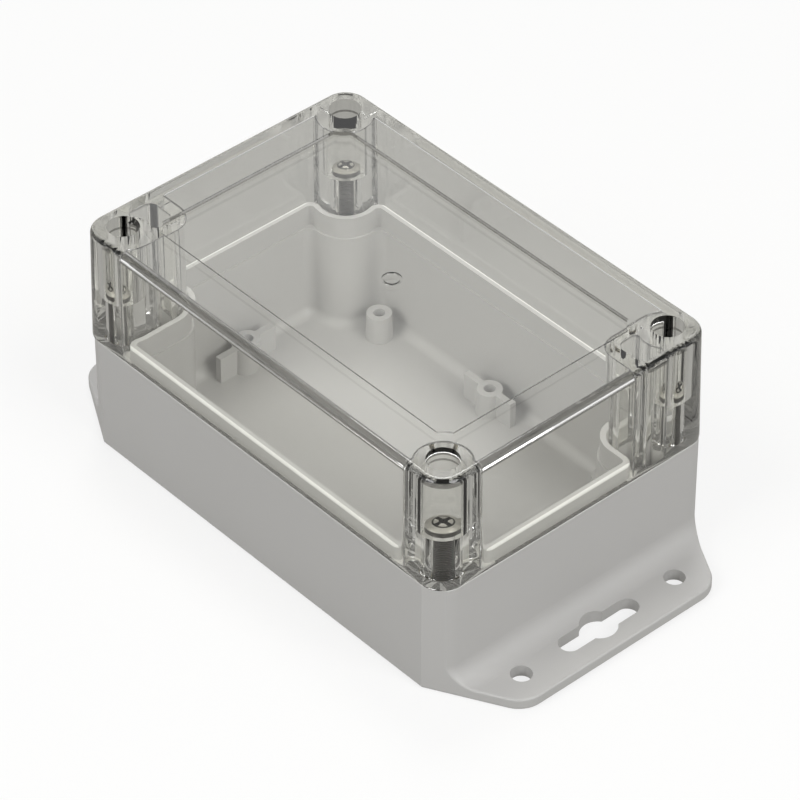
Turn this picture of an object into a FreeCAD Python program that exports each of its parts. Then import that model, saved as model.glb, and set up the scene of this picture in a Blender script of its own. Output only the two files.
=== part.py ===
import FreeCAD, Part
import math
import os

# Flanged polycarbonate enclosure: grey base with two end flanges, clear cover, four corner screws.
# Millimetres, +Z up. The origin is the centre of the underside, +X runs along the box to one
# flange, and +Y runs across it. The part looks the same after half a turn about Z.

# Box
box_length = 120.0
box_width = 80.0
corner_radius = 5.8
base_height = 30.0
cover_height = 30.0
cover_draft = 1.0
edge_round = 0.8
rim_round = 0.25
top_round = 1.5
wall = 3.0
floor = 3.0
top_plate = 3.0
cavity_draft = 0.5

# Sealing lip, groove and gasket at the parting plane
lip_height = 3.8
lip_thickness = 1.5
lip_clearance = 0.15
lip_round = 0.4
ledge_width = 0.5
ledge_drop = 1.8
gasket_width = 1.2
gasket_height = 1.2
gasket_clearance = 0.05
floor_round = 2.5
base_flare = 4.5
ceiling_round = 0.5

# Cover screws, their bosses and inserts
screw_inset = 7.4
boss_inset = 8.0
boss_radius = 6.5
boss_flare = 2.5
pocket_boss_radius = 6.2
pocket_boss_flare = 0.8
shank_diameter = 3.0
shank_length = 20.0
tip_chamfer = 0.4
head_diameter = 5.6
head_height = 2.3
head_dome = 1.0
recess_length = 3.4
recess_width = 0.8
recess_depth = 1.4
recess_core = 1.6
shelf_height = 12.0
head_clearance = 0.95
shank_clearance = 0.25
thread_clearance = 0.05
insert_diameter = 4.6
insert_length = 8.0
insert_grooves = 2
insert_groove_depth = 0.35
insert_clearance = 0.02
tip_clearance = 4.0
mouth_chamfer = 0.4

# Wells beside two diagonal screws, outside the seal, each with a wall-fixing hole
well_wall = 3.0
well_length = 8.5
well_reach = 11.0
well_boss_radius = 5.4
well_round = 1.2
well_end_round = 2.4
well_turn = 5.0
well_hole_diameter = 4.2
well_floor = 4.0

# Label recess and gate mark in the top of the cover
label_end_margin = 12.2
label_side_margin = 12.3
label_depth = 0.8
label_relief = 8.0
gate_diameter = 4.6
gate_depth = 0.3
gate_ring = 0.5

# Flanges
flange_reach = 15.0
flange_thickness = 3.0
flange_taper = 29.0
flange_corner = 7.0
flange_root = 5.0
flange_round = 0.5
flange_hole_diameter = 5.0
flange_hole_inset = 7.5
flange_hole_spacing = 46.0
slot_width = 5.2
slot_length = 22.6
slot_eye_diameter = 8.6

# Board posts on the floor
post_height = 7.0
post_diameter = 6.0
post_foot_growth = 0.3
post_hole_diameter = 2.8
post_hole_depth = 5.0
post_end_inset = 9.8
post_side_inset = 10.2
post_corner_end_inset = 22.7
post_corner_side_inset = 10.8
rib_length = 15.6
rib_thickness = 1.7

# Places that follow from the values above
half_length = box_length / 2
half_width = box_width / 2
seal_x = half_length - wall
seal_y = half_width - wall
screw_x = half_length - screw_inset
screw_y = half_width - screw_inset
boss_x = half_length - boss_inset
boss_y = half_width - boss_inset
well_left = seal_x - well_length
well_start = boss_y - well_reach
cover_top = base_height + cover_height
ceiling = cover_top - top_plate
shelf = base_height + shelf_height
insert_seat = base_height - insert_length
quadrants = ((1, -1), (1, 1), (-1, 1), (-1, -1))


def point(x, y, z=0.0):
    return FreeCAD.Vector(x, y, z)


def on_arc(arc, degrees):
    x, y, radius = arc[:3]
    angle = math.radians(degrees)
    return x + radius * math.cos(angle), y + radius * math.sin(angle)


def outline(corners, z=0.0):
    # Joins corners by straight lines into a face. A corner is a sharp point (x, y), or an arc
    # (x, y, radius, start, end) with its centre first and its angles in degrees.
    edges = []
    last = None
    for corner in corners + corners[:1]:
        sharp = len(corner) == 2
        angles = (0,) if sharp else (corner[3], (corner[3] + corner[4]) / 2, corner[4])
        stops = [point(*corner, z)] if sharp else [point(*on_arc(corner, a), z) for a in angles]
        if last and last.distanceToPoint(stops[0]) > 1e-4:
            edges.append(Part.makeLine(last, stops[0]))
        if last and not sharp:
            edges.append(Part.Arc(*stops).toShape())
        last = stops[-1]
    return Part.Face(Part.Wire(Part.sortEdges(edges)[0]))


def prism(face, height):
    return face.extrude(point(0, 0, height))


def tapered(low_face, high_face):
    return Part.makeLoft([low_face.OuterWire, high_face.OuterWire], True, True)


def cylinder(x, y, z, diameter, height):
    return Part.makeCylinder(diameter / 2, height, point(x, y, z))


def edges_at(shape, z):
    return [e for e in shape.Edges if all(abs(v.Z - z) < 1e-3 for v in e.Vertexes)
            and abs(e.BoundBox.ZLength) < 1e-3]


def half_turn(corners):
    turned = []
    for corner in corners:
        x, y = corner[:2]
        turned.append((-x, -y) + tuple(a + b for a, b in zip(corner[2:], (0, 180, 180))))
    return turned


def rounded_box(inset, z):
    # The corner keeps its radius when the box shrinks, and grows with it when it is spread.
    radius = corner_radius - min(inset, 0)
    x = half_length - inset - radius
    y = half_width - inset - radius
    return outline([(x, -y, radius, -90, 0), (x, y, radius, 0, 90),
                    (-x, y, radius, 90, 180), (-x, -y, radius, 180, 270)], z)


def flare_arcs(inset, flare, radius):
    # S-curve from each wall into the boss of the corner at +X -Y: two flares and the boss between.
    reach = radius + flare
    side_x = boss_x - math.sqrt(reach ** 2 - (seal_y - flare - boss_y) ** 2)
    end_y = -boss_y + math.sqrt(reach ** 2 - (seal_x - flare - boss_x) ** 2)
    side_angle = math.degrees(math.atan2(-(seal_y - flare) + boss_y, side_x - boss_x)) % 360
    end_angle = math.degrees(math.atan2(end_y + boss_y, seal_x - flare - boss_x))
    return [(side_x, -(seal_y - flare), flare - inset, -90, side_angle - 180),
            (boss_x, -boss_y, radius + inset, side_angle, end_angle),
            (seal_x - flare, end_y, flare - inset, end_angle - 180, 0)]


def well_corner_arcs(inset, flare, radius):
    # The corner at +X +Y: the seal runs round the well, then round the boss to the long wall.
    reach = radius + flare
    wall_y = well_start - well_wall
    boss_left = boss_x - radius
    side_x = boss_x - math.sqrt(reach ** 2 - (seal_y - flare - boss_y) ** 2)
    side_angle = math.degrees(math.atan2(seal_y - flare - boss_y, side_x - boss_x))
    return [(seal_x - flare, wall_y - flare, flare - inset, 0, 90),
            (boss_left + well_turn, wall_y + well_turn, well_turn + inset, 270, 180),
            (boss_x, boss_y, radius + inset, 180, side_angle),
            (side_x, seal_y - flare, flare - inset, side_angle - 180, 90)]


def seal_outline(inset, z, flare=boss_flare, radius=boss_radius):
    half = flare_arcs(inset, flare, radius) + well_corner_arcs(inset, flare, radius)
    return outline(half + half_turn(half), z)


def well_outline(z):
    reach = well_boss_radius + well_round
    left = well_left + well_round
    right = seal_x - well_round
    left_end = well_left + well_end_round
    right_end = seal_x - well_end_round
    low = well_start + well_end_round
    left_y = boss_y - math.sqrt(reach ** 2 - (left - boss_x) ** 2)
    right_y = boss_y - math.sqrt(reach ** 2 - (right - boss_x) ** 2)
    left_angle = math.degrees(math.atan2(left_y - boss_y, left - boss_x))
    right_angle = math.degrees(math.atan2(right_y - boss_y, right - boss_x))
    return outline([(left_end, low, well_end_round, 180, 270), (right_end, low, well_end_round, 270, 360),
                    (right, right_y, well_round, 0, right_angle + 180),
                    (boss_x, boss_y, well_boss_radius, right_angle, left_angle),
                    (left, left_y, well_round, left_angle + 180, 180)], z)


def both_ends(shape):
    other = shape.copy()
    other.rotate(point(0, 0), point(0, 0, 1), 180)
    return [shape, other]


def flange_plan():
    # Box and both flanges: each flange starts where the corner round leaves the long side.
    start = half_length - corner_radius
    end = half_length + flange_reach
    turn = 90 - flange_taper
    tip = half_width - (end - start) * math.tan(math.radians(flange_taper))
    x = end - flange_corner
    y = tip - flange_corner * math.tan(math.radians(turn / 2))
    half = [(start, -half_width), (x, -y, flange_corner, -turn, 0), (x, y, flange_corner, 0, turn),
            (start, half_width)]
    return outline(half + half_turn(half))


def flange_cuts():
    # Two round holes and a keyhole slot with a central eye.
    x = half_length + flange_hole_inset
    height = flange_thickness + flange_root
    holes = [cylinder(x, side * flange_hole_spacing / 2, 0, flange_hole_diameter, height) for side in (1, -1)]
    end = (slot_length - slot_width) / 2
    slot = prism(outline([(x, end, slot_width / 2, 0, 180), (x, -end, slot_width / 2, 180, 360)]), height)
    eye = cylinder(x, 0, 0, slot_eye_diameter, height)
    return holes + [slot.fuse(eye)]


def base_body():
    # The wall runs down into the flanges through a concave root, cut off at the flange's sides.
    spread = flange_reach + flange_root
    block = prism(rounded_box(0, 0), base_height)
    plate = prism(rounded_box(-spread, 0), flange_thickness)
    body = block.fuse(plate).removeSplitter()
    root = [e for e in edges_at(body, flange_thickness) if e.BoundBox.XMax < half_length + 1e-3
            and e.BoundBox.XMin > -half_length - 1e-3]
    root = [e for e in root if e.BoundBox.YMax < half_width + 1e-3 and e.BoundBox.YMin > -half_width - 1e-3]
    body = body.makeFillet(flange_root, root)
    body = body.common(prism(flange_plan(), base_height))
    body = body.makeFillet(edge_round, edges_at(body, 0))
    body = body.makeFillet(flange_round, flange_rims(body))
    return body.makeFillet(rim_round, edges_at(body, base_height))


def flange_rims(body):
    # Upper edges of the flanges' sides, up the root to the wall.
    border = flange_plan().OuterWire
    rims = []
    for edge in body.Edges:
        low, high = edge.BoundBox.ZMin, edge.BoundBox.ZMax
        middle = edge.valueAt((edge.FirstParameter + edge.LastParameter) / 2)
        middle.z = 0
        if low > flange_thickness - 1e-3 and high < flange_thickness + flange_root + 1e-3:
            if border.distToShape(Part.Vertex(middle))[0] < 1e-3:
                rims.append(edge)
    return rims


def base_cavity():
    # Below a narrow ledge under the lip the walls taper in to a rounded floor.
    ledge = base_height - ledge_drop
    inset = lip_thickness + ledge_width
    shrink = (ledge - floor) * math.tan(math.radians(cavity_draft))
    low = seal_outline(inset + shrink, floor, base_flare)
    well = tapered(low, seal_outline(inset, ledge, base_flare))
    well = well.makeFillet(floor_round, edges_at(well, floor))
    throat = prism(seal_outline(lip_thickness, ledge), ledge_drop + lip_height)
    return well.fuse(throat)


def post_places():
    # Four near the corners, and one amid each side with a rib along x or y.
    x = half_length - post_corner_end_inset
    y = half_width - post_corner_side_inset
    places = [(x_sign * x, y_sign * y, None) for x_sign, y_sign in quadrants]
    places += [(side * (half_length - post_end_inset), 0, "y") for side in (1, -1)]
    places += [(0, side * (half_width - post_side_inset), "x") for side in (1, -1)]
    return places


def post_solid(x, y, along):
    # Stands in the floor by half its thickness.
    foot = floor / 2
    height = floor + post_height - foot
    radius = post_diameter / 2
    post = Part.makeCone(radius + post_foot_growth, radius, height, point(x, y, foot))
    if along:
        size = (rib_length, rib_thickness) if along == "x" else (rib_thickness, rib_length)
        post = post.fuse(Part.makeBox(*size, height, point(x - size[0] / 2, y - size[1] / 2, foot)))
    return post


def well_hole_place():
    low = well_start
    high = boss_y - well_boss_radius
    return (well_left + seal_x) / 2, (low + high) / 2


def make_base():
    body = base_body()
    lip = prism(seal_outline(0, base_height), lip_height)
    lip = lip.makeFillet(lip_round, edges_at(lip, base_height + lip_height))
    groove_floor = base_height - gasket_height
    groove = prism(seal_outline(-gasket_width - 2 * gasket_clearance, groove_floor), gasket_height)
    groove = groove.cut(prism(seal_outline(0, groove_floor), gasket_height))
    body = body.fuse(lip).cut(groove).cut(base_cavity())
    for x_sign, y_sign in quadrants:
        x, y = x_sign * screw_x, y_sign * screw_y
        body = body.cut(cylinder(x, y, insert_seat, insert_diameter + 2 * insert_clearance, insert_length))
        tip = insert_seat - tip_clearance
        body = body.cut(cylinder(x, y, tip, shank_diameter + 2 * shank_clearance, tip_clearance))
    for well in both_ends(prism(well_outline(well_floor), base_height - well_floor)):
        body = body.cut(well)
    x, y = well_hole_place()
    for hole in both_ends(cylinder(x, y, 0, well_hole_diameter, well_floor)):
        body = body.cut(hole)
    for cut in flange_cuts():
        body = body.cut(both_ends(cut))
    for place in post_places():
        body = body.fuse(post_solid(*place))
    hole_low = floor + post_height - post_hole_depth
    for place in post_places():
        body = body.cut(cylinder(*place[:2], hole_low, post_hole_diameter, post_hole_depth))
    return body.removeSplitter()


def make_gasket():
    seat = base_height - gasket_height
    ring = prism(seal_outline(-gasket_width - gasket_clearance, seat), gasket_height)
    return ring.cut(prism(seal_outline(-gasket_clearance, seat), gasket_height))


def make_cover():
    shrink = cover_height * math.tan(math.radians(cover_draft))
    body = tapered(rounded_box(0, base_height), rounded_box(shrink, cover_top))
    body = body.makeFillet(top_round, edges_at(body, cover_top))
    body = body.makeFillet(rim_round, edges_at(body, base_height))
    rise = (ceiling - base_height) * math.tan(math.radians(cavity_draft))
    low = seal_outline(-lip_clearance, base_height, pocket_boss_flare, pocket_boss_radius)
    high = seal_outline(rise - lip_clearance, ceiling, pocket_boss_flare, pocket_boss_radius)
    cavity = tapered(low, high)
    cavity = cavity.makeFillet(ceiling_round, edges_at(cavity, ceiling))
    body = body.cut(cavity).cut(label_recess()).cut(gate_mark())
    for x_sign, y_sign in quadrants:
        x, y = x_sign * screw_x, y_sign * screw_y
        body = body.cut(cylinder(x, y, shelf, head_diameter + 2 * head_clearance, cover_top - shelf))
        body = body.cut(cylinder(x, y, base_height, shank_diameter + 2 * shank_clearance, shelf_height))
    for well in both_ends(prism(well_outline(base_height), ceiling - base_height)):
        body = body.cut(well)
    return body


def label_recess():
    low = cover_top - label_depth
    x = half_length - label_end_margin
    y = half_width - label_side_margin
    field = Part.makeBox(2 * x, 2 * y, label_depth, point(-x, -y, low))
    for x_sign, y_sign in quadrants:
        field = field.cut(cylinder(x_sign * boss_x, y_sign * boss_y, low, 2 * label_relief, label_depth))
    return field


def gate_mark():
    low = cover_top - label_depth - gate_depth
    return cylinder(0, 0, low, gate_diameter, gate_depth).cut(
        cylinder(0, 0, low, gate_diameter - 2 * gate_ring, gate_depth))


def revolved(profile):
    wire = Part.makePolygon([point(r, 0, z) for r, z in profile + profile[:1]])
    return Part.Face(wire).revolve(point(0, 0), point(0, 0, 1), 360)


def screw_solid():
    # Pan head with a cross recess, on a shank with a chamfered tip. The head's underside is at z 0.
    radius = shank_diameter / 2
    shank = revolved([(0, 0), (radius - tip_chamfer, 0), (radius, tip_chamfer),
                      (radius, shank_length), (0, shank_length)])
    shank.translate(point(0, 0, -shank_length))
    side = head_height - head_dome
    rim = cylinder(0, 0, 0, head_diameter, side)
    sphere_radius = ((head_diameter / 2) ** 2 + head_dome ** 2) / (2 * head_dome)
    dome = Part.makeSphere(sphere_radius, point(0, 0, head_height - sphere_radius))
    cap = cylinder(0, 0, side, head_diameter, head_dome).common(dome)
    head = rim.fuse(cap)
    recess_floor = head_height - recess_depth
    for size in ((recess_length, recess_width), (recess_width, recess_length)):
        corner = point(-size[0] / 2, -size[1] / 2, recess_floor)
        head = head.cut(Part.makeBox(*size, recess_depth, corner))
    head = head.cut(Part.makeCone(recess_width / 2, recess_core / 2, recess_depth, point(0, 0, recess_floor)))
    return head.fuse(shank).removeSplitter()


def insert_solid():
    # Sleeve with evenly spaced retaining grooves and a chamfered mouth.
    outer = insert_diameter / 2
    inner = shank_diameter / 2 + thread_clearance
    waist = outer - insert_groove_depth
    land = insert_length / (2 * insert_grooves + 1)
    profile = [(inner, 0), (outer, 0)]
    for number in range(insert_grooves):
        low = land * (2 * number + 1)
        profile += [(outer, low), (waist, low + insert_groove_depth),
                    (waist, low + land - insert_groove_depth), (outer, low + land)]
    profile += [(outer, insert_length), (inner + mouth_chamfer, insert_length),
                (inner, insert_length - mouth_chamfer)]
    return revolved(profile)


def save(name, shape):
    shape.exportStep("parts/%s.step" % name)
    print(name, "volume %.0f" % shape.Volume, "solids", len(shape.Solids), "valid", shape.isValid())


os.makedirs("parts", exist_ok=True)
save("base", make_base())
save("gasket", make_gasket())
save("cover", make_cover())
for number, (x_sign, y_sign) in enumerate(quadrants, start=1):
    place = (x_sign * screw_x, y_sign * screw_y)
    screw = screw_solid()
    screw.translate(point(*place, shelf))
    save("cover_screw_%d" % number, screw)
    insert = insert_solid()
    insert.translate(point(*place, insert_seat))
    save("threaded_insert_%d" % number, insert)
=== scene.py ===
import math

import bmesh
import bpy
from mathutils import Matrix, Vector


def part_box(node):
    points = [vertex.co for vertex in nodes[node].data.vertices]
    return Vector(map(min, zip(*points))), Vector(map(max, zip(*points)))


# Flanged enclosure: light grey moulded base, clear moulded cover, four steel screws in deep
# pockets. Metres, +Z up, the frame's own places.

noiseRange = (0.3, 0.7)  # where nearly all the values of a noise pattern lie


def stageDone(text):
    print("stage:", text, flush=True)


def linear(colourCode):
    # sRGB hex to linear light.
    parts = [int(colourCode[i:i + 2], 16) / 255 for i in (1, 3, 5)]
    return [p / 12.92 if p <= 0.04045 else ((p + 0.055) / 1.055) ** 2.4 for p in parts] + [1.0]


def addNode(tree, kind, inputs=(), **settings):
    # Inputs come in the node's own order or by name. Nodes and sockets are linked, values are set.
    node = tree.nodes.new("ShaderNode" + kind)
    for name, value in settings.items():
        setattr(node, name, value)
    inUse = [socket for socket in node.inputs if socket.enabled]
    for key, value in inputs.items() if isinstance(inputs, dict) else enumerate(inputs):
        target = node.inputs[key] if isinstance(key, str) else inUse[key]
        if isinstance(value, bpy.types.Node):
            value = next(socket for socket in value.outputs if socket.enabled)
        if isinstance(value, bpy.types.NodeSocket):
            tree.links.new(value, target)
        else:
            target.default_value = value
    return node


def allOf(tree, *conditions):
    # One where every condition holds, zero elsewhere. Each is a value, a comparison and a limit.
    mask = None
    for value, comparison, limit in conditions:
        test = addNode(tree, "Math", [value, limit], operation=comparison)
        mask = addNode(tree, "Math", [mask, test], operation="MULTIPLY") if mask else test
    return mask


def newMaterial(name):
    material = bpy.data.materials.new(name)
    material.use_nodes = True
    tree = material.node_tree
    tree.nodes.clear()
    return material, tree


def dress(node, material):
    node.data.materials.clear()
    node.data.materials.append(material)


baseLook = {
    "colour": "#b5b4b2",
    "flowColour": "#b1b0ae",
    "flowSize": 0.045,  # drifts of tone about 45 mm wide, where the melt ran
    "flowDetail": 3.0,
    "grainSize": 0.00035,  # coarser than the grain of a real mould, so that it shows
    "grainDepth": 0.000006,
    "roughness": (0.40, 0.52),
    "indexOfRefraction": 1.5,
    "lipInset": 0.00125,  # from the gasket's outer edge in to the lip's
    # painted highlight: a pale band at the lip's top outer edge, this deep and this wide
    "paintedHighlightColour": "#e4e4e1",
    "paintedHighlightDepth": 0.0005,  # down from the lip's top
    "paintedHighlightWidth": 0.0006,  # in from the lip's outer edge
}


def greyMoulding(lipTop, lipX, lipY):
    # Polycarbonate out of a spark-eroded mould: matt, with faint flow marks in the tone and a
    # fine grain. A painted highlight is drawn as a pale line along the top outer edge of the
    # sealing lip's straight runs.
    material, tree = newMaterial("matt light grey moulded polycarbonate")
    place = addNode(tree, "TexCoord").outputs["Object"]
    flow = addNode(tree, "TexNoise", {"Vector": place, "Scale": 1 / baseLook["flowSize"],
                                      "Detail": baseLook["flowDetail"]})
    tone = addNode(tree, "Mix", [flow, linear(baseLook["flowColour"]), linear(baseLook["colour"])],
                   data_type="RGBA")
    x, y, z = addNode(tree, "SeparateXYZ", [place]).outputs
    alongX = addNode(tree, "Math", [x], operation="ABSOLUTE")
    alongY = addNode(tree, "Math", [y], operation="ABSOLUTE")
    # Painted highlight: a pale band along the top outer edge of the lip's straight runs.
    high = (z, "GREATER_THAN", lipTop - baseLook["paintedHighlightDepth"])
    atEnd = allOf(tree, high, (alongX, "GREATER_THAN", lipX - baseLook["paintedHighlightWidth"]))
    atSide = allOf(tree, high, (alongY, "GREATER_THAN", lipY - baseLook["paintedHighlightWidth"]))
    paintedHighlight = addNode(tree, "Math", [atEnd, atSide], operation="MAXIMUM")
    tone = addNode(tree, "Mix", [paintedHighlight, tone, linear(baseLook["paintedHighlightColour"])], data_type="RGBA")
    grain = addNode(tree, "TexNoise", {"Vector": place, "Scale": 1 / baseLook["grainSize"]})
    bump = addNode(tree, "Bump", {"Height": grain, "Distance": baseLook["grainDepth"]})
    roughness = addNode(tree, "MapRange", [flow, *noiseRange, *baseLook["roughness"]])
    shader = addNode(tree, "BsdfPrincipled", {"Base Color": tone, "Roughness": roughness,
                                              "IOR": baseLook["indexOfRefraction"], "Normal": bump})
    addNode(tree, "OutputMaterial", {"Surface": shader})
    return material


coverLook = {
    "tint": "#fefefc",
    "indexOfRefraction": 1.585,
    "roughness": (0.0, 0.015),
    "hazeSize": 0.012,  # patches of faint haze about 12 mm wide
    "waveSize": 0.03,  # waves about 30 mm long, where the moulding shrank
    "waveDetail": 0.0,  # no finer waves on top of them
    "waveDepth": 0.000004,
    "labelHalf": (0.0478, 0.0277),  # half the label recess, along X and Y
    "stepDepth": 0.0012,  # down from the top, past the recess's floor
    "stepSlope": 0.3,  # faces with a normal less upright than this count as steps
    # painted shade on the label recess's steps
    "stepShadeColour": "#8a8986",
    "lineRun": (0.04525, 0.0252),  # half the straight runs of the line round the recess
    "lineWidth": 0.0003,
    "lineDepth": 0.00002,  # keeps the line on the top face
    # painted shade: a dark line round the recess on the top face
    "lineShadeColour": "#6b6a67",
    "ceilingEdge": (0.0036, 0.00302),  # down from the top: the strip round the ceiling's edge
    "insideHalf": (0.0572, 0.0372),
    # painted shade on the strip round the ceiling's rounded edge
    "ceilingEdgeShadeColour": "#7d7c79",
}


def clearMoulding(coverTop):
    # Polycarbonate out of a polished mould: clear and sharp, with slow waves. Lamps and bounced
    # light pass straight through, so the inside is lit as in the open. Painted shade darkens the
    # steps of the label recess, a thin line round it on the top face and the strip round the
    # ceiling's rounded edge.
    material, tree = newMaterial("polished clear moulded polycarbonate")
    place = addNode(tree, "TexCoord").outputs["Object"]
    haze = addNode(tree, "TexNoise", {"Vector": place, "Scale": 1 / coverLook["hazeSize"]})
    wave = addNode(tree, "TexNoise", {"Vector": place, "Scale": 1 / coverLook["waveSize"],
                                      "Detail": coverLook["waveDetail"]})
    bump = addNode(tree, "Bump", {"Height": wave, "Distance": coverLook["waveDepth"]})
    normal = addNode(tree, "NewGeometry").outputs["True Normal"]
    x, y, z = addNode(tree, "SeparateXYZ", [place]).outputs
    facing = addNode(tree, "SeparateXYZ", [normal]).outputs["Z"]
    alongX = addNode(tree, "Math", [x], operation="ABSOLUTE")
    alongY = addNode(tree, "Math", [y], operation="ABSOLUTE")
    upright = addNode(tree, "Math", [facing], operation="ABSOLUTE")
    width = coverLook["lineWidth"]
    (halfX, halfY), (runX, runY) = coverLook["labelHalf"], coverLook["lineRun"]
    (insideX, insideY), (edgeLow, edgeHigh) = coverLook["insideHalf"], coverLook["ceilingEdge"]

    step = allOf(tree, (upright, "LESS_THAN", coverLook["stepSlope"]),
                 (z, "GREATER_THAN", coverTop - coverLook["stepDepth"]), (z, "LESS_THAN", coverTop),
                 (alongX, "LESS_THAN", halfX + width), (alongY, "LESS_THAN", halfY + width))
    onTop = (z, "GREATER_THAN", coverTop - coverLook["lineDepth"])
    sideLine = allOf(tree, onTop, (alongX, "LESS_THAN", runX),
                     (alongY, "GREATER_THAN", halfY), (alongY, "LESS_THAN", halfY + width))
    endLine = allOf(tree, onTop, (alongY, "LESS_THAN", runY),
                    (alongX, "GREATER_THAN", halfX), (alongX, "LESS_THAN", halfX + width))
    line = addNode(tree, "Math", [sideLine, endLine], operation="ADD")
    ceilingEdge = allOf(tree, (alongX, "LESS_THAN", insideX), (alongY, "LESS_THAN", insideY),
                        (z, "GREATER_THAN", coverTop - edgeLow),
                        (z, "LESS_THAN", coverTop - edgeHigh))
    tone = linear(coverLook["tint"])
    # Painted shade: darker strips on the recess's steps, the line round it and the ceiling's edge.
    for strip, tint in ((step, "stepShadeColour"), (line, "lineShadeColour"), (ceilingEdge, "ceilingEdgeShadeColour")):
        tone = addNode(tree, "Mix", [strip, tone, linear(coverLook[tint])], data_type="RGBA")

    roughness = addNode(tree, "MapRange", [haze, *noiseRange, *coverLook["roughness"]])
    clear = addNode(tree, "BsdfPrincipled", {"Base Color": tone, "Roughness": roughness,
                                             "IOR": coverLook["indexOfRefraction"],
                                             "Transmission Weight": 1.0, "Normal": bump})
    path = addNode(tree, "LightPath")
    soft = addNode(tree, "Math", [path.outputs["Is Shadow Ray"], path.outputs["Is Diffuse Ray"]],
                   operation="MAXIMUM")
    passing = addNode(tree, "BsdfTransparent", {"Color": linear(coverLook["tint"])})
    shader = addNode(tree, "MixShader", [soft, clear, passing])
    addNode(tree, "OutputMaterial", {"Surface": shader})
    return material


gasketLook = {
    "colour": "#c9c8c4",
    "roughness": (0.50, 0.65),
    "indexOfRefraction": 1.41,
    "mottleSize": 0.0015,  # patches about 1.5 mm wide
    "mottleDepth": 0.00001,
}


def siliconeSeal():
    # Moulded silicone: soft and matt, with a faint mottle.
    material, tree = newMaterial("matt grey moulded silicone")
    place = addNode(tree, "TexCoord").outputs["Object"]
    mottle = addNode(tree, "TexNoise", {"Vector": place, "Scale": 1 / gasketLook["mottleSize"]})
    bump = addNode(tree, "Bump", {"Height": mottle, "Distance": gasketLook["mottleDepth"]})
    roughness = addNode(tree, "MapRange", [mottle, *noiseRange, *gasketLook["roughness"]])
    shader = addNode(tree, "BsdfPrincipled", {"Base Color": linear(gasketLook["colour"]),
                                              "Roughness": roughness, "Normal": bump,
                                              "IOR": gasketLook["indexOfRefraction"]})
    addNode(tree, "OutputMaterial", {"Surface": shader})
    return material


screwLook = {
    "colour": "#98968f",
    "roughness": (0.36, 0.5),
    "smearSize": 0.0012,  # smears of polish about 1.2 mm wide
    "ringPitch": 0.00012,  # turning marks, finer than a pixel from the photo's camera
    "ringDepth": 0.000003,
    "headHeight": 0.0023,
    "sideHeight": 0.0012,  # up from the head's foot: the band of painted shade and reflection
    # painted shade and reflection on the head's side
    "sideShadeColour": "#4b4a47",
    "recessDepth": (0.0002, 0.0015),  # down from the head's top: where the painted shade starts and ends
    "recessRadius": 0.0018,
    # painted shade in the pressed recess
    "recessShadeColour": "#2a2927",
    "threadPitch": 0.0005,
    "threadDepth": 0.00015,
    "threadFlank": 0.6,  # the sine's height over which a groove turns into a crest
    # painted reflection: the shank drawn dark for the dark surroundings it mirrors
    "shankPaintedReflection": "#454440",
    # painted shade in the thread's grooves
    "grooveShadeColour": "#1e1d1c",
}


def turnedSteel(name, centre, headTop):
    # Stainless steel: fine turning rings on the head and a rolled thread down the shank. Painted
    # shade and reflection darken the head's side, painted shade darkens the pressed recess and the
    # thread's grooves, and the shank is painted dark for the dark surroundings it mirrors.
    material, tree = newMaterial(name)
    place = addNode(tree, "TexCoord").outputs["Object"]
    local = addNode(tree, "VectorMath", [place, centre], operation="SUBTRACT")
    x, y, z = addNode(tree, "SeparateXYZ", [local]).outputs
    flat = addNode(tree, "CombineXYZ", [x, y])
    radius = addNode(tree, "VectorMath", [flat], operation="LENGTH")
    ringTurns = addNode(tree, "Math", [radius, 2 * math.pi / screwLook["ringPitch"]],
                        operation="MULTIPLY")
    rings = addNode(tree, "Math", [ringTurns], operation="SINE")
    around = addNode(tree, "Math", [y, x], operation="ARCTAN2")
    turns = addNode(tree, "Math", [z, 2 * math.pi / screwLook["threadPitch"]], operation="MULTIPLY")
    winding = addNode(tree, "Math", [turns, around], operation="ADD")
    thread = addNode(tree, "Math", [winding], operation="SINE")

    headFoot = headTop - screwLook["headHeight"]
    recessTop, recessFloor = (headTop - depth for depth in screwLook["recessDepth"])
    onShank = addNode(tree, "Math", [z, headFoot], operation="LESS_THAN")
    onHead = addNode(tree, "Math", [1.0, onShank], operation="SUBTRACT")
    onSide = addNode(tree, "Math", [z, headFoot + screwLook["sideHeight"]], operation="LESS_THAN")
    inRecess = allOf(tree, (z, "LESS_THAN", recessTop), (z, "GREATER_THAN", recessFloor),
                     (radius, "LESS_THAN", screwLook["recessRadius"]))

    # Painted shade in the thread's grooves, and a shank painted dark as painted reflection.
    flank = screwLook["threadFlank"]
    crest = addNode(tree, "MapRange", [thread, -flank, flank])
    shank = addNode(tree, "Mix", [crest, linear(screwLook["grooveShadeColour"]),
                                  linear(screwLook["shankPaintedReflection"])], data_type="RGBA")
    # Painted shade and reflection: a dark band on the head's side, and painted shade in the recess.
    tone = addNode(tree, "Mix", [onSide, linear(screwLook["colour"]),
                                 linear(screwLook["sideShadeColour"])], data_type="RGBA")
    tone = addNode(tree, "Mix", [inRecess, tone, linear(screwLook["recessShadeColour"])],
                   data_type="RGBA")
    tone = addNode(tree, "Mix", [onShank, tone, shank], data_type="RGBA")
    turned = addNode(tree, "Bump", {"Height": rings, "Distance": screwLook["ringDepth"],
                                    "Strength": onHead})
    rolled = addNode(tree, "Bump", {"Height": thread, "Distance": screwLook["threadDepth"],
                                    "Strength": onShank, "Normal": turned})
    smear = addNode(tree, "TexNoise", {"Vector": place, "Scale": 1 / screwLook["smearSize"]})
    roughness = addNode(tree, "MapRange", [smear, *noiseRange, *screwLook["roughness"]])
    shader = addNode(tree, "BsdfPrincipled", {"Base Color": tone, "Metallic": 1.0,
                                              "Roughness": roughness, "Normal": rolled})
    addNode(tree, "OutputMaterial", {"Surface": shader})
    return material


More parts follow.
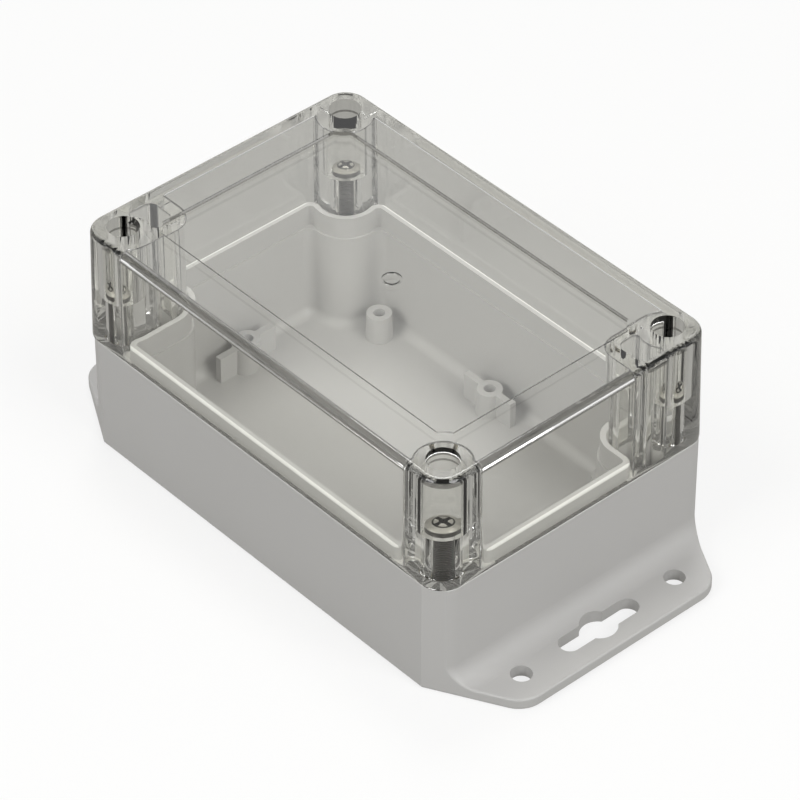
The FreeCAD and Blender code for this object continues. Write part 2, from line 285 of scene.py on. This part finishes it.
insertLook = {
    "colour": "#aaa38f",
    "roughness": (0.28, 0.42),
    "grainSize": 0.0004,  # coarser than real tool marks, so that it shows
    "grainDepth": 0.000005,
}


def machinedBrass():
    # Machined brass: a dull, pale gold metal with a light grain.
    material, tree = newMaterial("machined brass")
    place = addNode(tree, "TexCoord").outputs["Object"]
    grain = addNode(tree, "TexNoise", {"Vector": place, "Scale": 1 / insertLook["grainSize"]})
    bump = addNode(tree, "Bump", {"Height": grain, "Distance": insertLook["grainDepth"]})
    roughness = addNode(tree, "MapRange", [grain, *noiseRange, *insertLook["roughness"]])
    shader = addNode(tree, "BsdfPrincipled", {"Base Color": linear(insertLook["colour"]),
                                              "Metallic": 1.0, "Roughness": roughness,
                                              "Normal": bump})
    addNode(tree, "OutputMaterial", {"Surface": shader})
    return material


floorLook = {
    "size": 6.0,
    "drop": 0.0001,  # below the underside, so that the two faces don't lie in one plane
    "colour": "#b3b3b1",  # as bounced light meets it
    "seenColour": "#e8e8e6",  # as the camera sees it, where it isn't glowing
    "glowColour": "#ffffff",
    "glow": 0.75,  # the glow's share of what the camera sees
    "mirroredColour": "#b4b2ae",
    "throughCoverColour": "#a2a19d",
}


def floorMaterial():
    # The camera sees it white with a soft shadow. Gloss and the clear cover show it grey.
    material, tree = newMaterial("pale studio floor")
    path = addNode(tree, "LightPath")
    matt = addNode(tree, "BsdfDiffuse", {"Color": linear(floorLook["colour"])})
    pale = addNode(tree, "BsdfDiffuse", {"Color": linear(floorLook["seenColour"])})
    glow = addNode(tree, "Emission", {"Color": linear(floorLook["glowColour"])})
    mirrored = addNode(tree, "Emission", {"Color": linear(floorLook["mirroredColour"])})
    through = addNode(tree, "Emission", {"Color": linear(floorLook["throughCoverColour"])})
    white = addNode(tree, "MixShader", [floorLook["glow"], pale, glow])
    shader = matt
    for ray, surface in (("Camera", white), ("Glossy", mirrored), ("Transmission", through)):
        shader = addNode(tree, "MixShader", [path.outputs["Is %s Ray" % ray], shader, surface])
    addNode(tree, "OutputMaterial", {"Surface": shader})
    return material


def makeFloor():
    mesh = bpy.data.meshes.new("studio floor")
    shape = bmesh.new()
    half = floorLook["size"] / 2
    corners = ((-half, -half, 0), (half, -half, 0), (half, half, 0), (-half, half, 0))
    shape.faces.new([shape.verts.new(corner) for corner in corners])
    shape.to_mesh(mesh)
    shape.free()
    floor = bpy.data.objects.new("studio floor", mesh)
    floor.location.z = -floorLook["drop"]
    bpy.context.scene.collection.objects.link(floor)
    mesh.materials.append(floorMaterial())


def towards(azimuth, elevation):
    around, up = math.radians(azimuth), math.radians(elevation)
    return Vector((math.cos(around) * math.cos(up), math.sin(around) * math.cos(up), math.sin(up)))


roomLook = {
    "domeColour": "#ffffff",
    "domeStrength": 0.42,
    "backdropColour": "#ffffff",
    "wallColour": "#a6a6a2",
    "wallThroughCover": "#cccbc8",
    "panelColour": "#ffffff",
    "panels": ((-110, 0), (20, 0), (138, 42)),  # azimuth and elevation in degrees
    "panelHalfWidth": 28,  # degrees
    "panelSoftness": 0.03,  # of the cosine at a panel's edge
}


def makeWorld():
    # Matt things are lit by an even dome, and the camera sees a white backdrop. Gloss shows a grey
    # room with white panels, and the clear cover shows the same room with paler walls.
    world = bpy.data.worlds.new("even studio dome")
    bpy.context.scene.world = world
    world.use_nodes = True
    tree = world.node_tree
    tree.nodes.clear()
    direction = addNode(tree, "TexCoord").outputs["Generated"]
    panelEdge = math.cos(math.radians(roomLook["panelHalfWidth"]))
    softness = roomLook["panelSoftness"]
    panels = 0.0
    for azimuth, elevation in roomLook["panels"]:
        facing = addNode(tree, "VectorMath", [direction, towards(azimuth, elevation)],
                         operation="DOT_PRODUCT")
        panel = addNode(tree, "MapRange", [facing, panelEdge - softness, panelEdge + softness])
        panels = addNode(tree, "Math", [panels, panel], operation="MAXIMUM")

    path = addNode(tree, "LightPath")
    gloss, through = path.outputs["Is Glossy Ray"], path.outputs["Is Transmission Ray"]
    wall = addNode(tree, "Mix", [through, linear(roomLook["wallColour"]),
                                 linear(roomLook["wallThroughCover"])], data_type="RGBA")
    room = addNode(tree, "Mix", [panels, wall, linear(roomLook["panelColour"])], data_type="RGBA")
    sharp = addNode(tree, "Math", [gloss, through], operation="MAXIMUM")
    dome = addNode(tree, "Background", {"Color": linear(roomLook["domeColour"]),
                                        "Strength": roomLook["domeStrength"]})
    shown = addNode(tree, "Background", {"Color": room})
    backdrop = addNode(tree, "Background", {"Color": linear(roomLook["backdropColour"])})
    lit = addNode(tree, "MixShader", [sharp, dome, shown])
    mixed = addNode(tree, "MixShader", [path.outputs["Is Camera Ray"], lit, backdrop])
    addNode(tree, "OutputWorld", {"Surface": mixed})


lamps = {
    "back": {"azimuth": 138, "elevation": 58, "share": 0.22, "size": 0.6, "distance": 1.6},
    "left": {"azimuth": -95, "elevation": 37, "share": 0.48, "size": 0.9, "distance": 1.6},
    "right": {"azimuth": 5, "elevation": 37, "share": 0.52, "size": 0.9, "distance": 1.6},
}


def makeLamps():
    # Each lamp gives its share of full light to a face turned to it.
    for name, lamp in lamps.items():
        data = bpy.data.lights.new("%s lamp" % name, "AREA")
        data.shape = "DISK"
        data.size = lamp["size"]
        data.energy = (math.pi * lamp["distance"]) ** 2 * lamp["share"]
        away = towards(lamp["azimuth"], lamp["elevation"])
        holder = bpy.data.objects.new("%s lamp" % name, data)
        holder.location = away * lamp["distance"]
        holder.rotation_euler = away.to_track_quat("Z", "Y").to_euler()
        bpy.context.scene.collection.objects.link(holder)


view = {
    "location": (0.57874, -0.51418, 0.67919),
    "azimuth": 48.25,
    "elevation": 40.22,
    "roll": -0.07,
    "lens": 204.7,
    "sensor": 36.0,
    "clipEnd": 20,
}


def makeCamera():
    # The angles, lens and place were solved from the box's edges in the photo.
    azimuth, elevation = math.radians(view["azimuth"]), math.radians(view["elevation"])
    back = Vector((math.sin(azimuth) * math.cos(elevation),
                   -math.cos(azimuth) * math.cos(elevation), math.sin(elevation)))
    right = Vector((math.cos(azimuth), math.sin(azimuth), 0))
    up = back.cross(right)
    turn = Matrix((right, up, back)).transposed().to_4x4()
    data = bpy.data.cameras.new("photo view")
    data.lens = view["lens"]
    data.sensor_width = view["sensor"]
    data.clip_end = view["clipEnd"]
    camera = bpy.data.objects.new("photo view", data)
    camera.matrix_world = (Matrix.Translation(view["location"]) @ turn
                           @ Matrix.Rotation(math.radians(view["roll"]), 4, "Z"))
    bpy.context.scene.collection.objects.link(camera)
    bpy.context.scene.camera = camera


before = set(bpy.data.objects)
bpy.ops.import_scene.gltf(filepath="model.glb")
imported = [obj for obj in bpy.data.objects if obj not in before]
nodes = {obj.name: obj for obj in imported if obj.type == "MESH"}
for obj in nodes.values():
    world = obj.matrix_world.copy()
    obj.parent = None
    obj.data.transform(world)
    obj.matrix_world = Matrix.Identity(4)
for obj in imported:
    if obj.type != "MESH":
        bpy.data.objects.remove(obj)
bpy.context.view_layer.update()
stageDone("frame loaded")

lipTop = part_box("base")[1][2]
gasketX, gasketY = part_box("gasket")[1][0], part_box("gasket")[1][1]
lipInset = baseLook["lipInset"]
dress(nodes["base"], greyMoulding(lipTop, gasketX - lipInset, gasketY - lipInset))
dress(nodes["cover"], clearMoulding(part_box("cover")[1][2]))
dress(nodes["gasket"], siliconeSeal())
brass = machinedBrass()
for number in range(1, 5):
    low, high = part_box("cover_screw_%d" % number)
    centre = ((low[0] + high[0]) / 2, (low[1] + high[1]) / 2, 0)
    steel = turnedSteel("turned stainless steel %d" % number, centre, high[2])
    dress(nodes["cover_screw_%d" % number], steel)
    dress(nodes["threaded_insert_%d" % number], brass)
stageDone("materials")

makeFloor()
makeWorld()
makeLamps()
makeCamera()
bpy.context.scene.view_settings.view_transform = "Standard"
stageDone("studio")
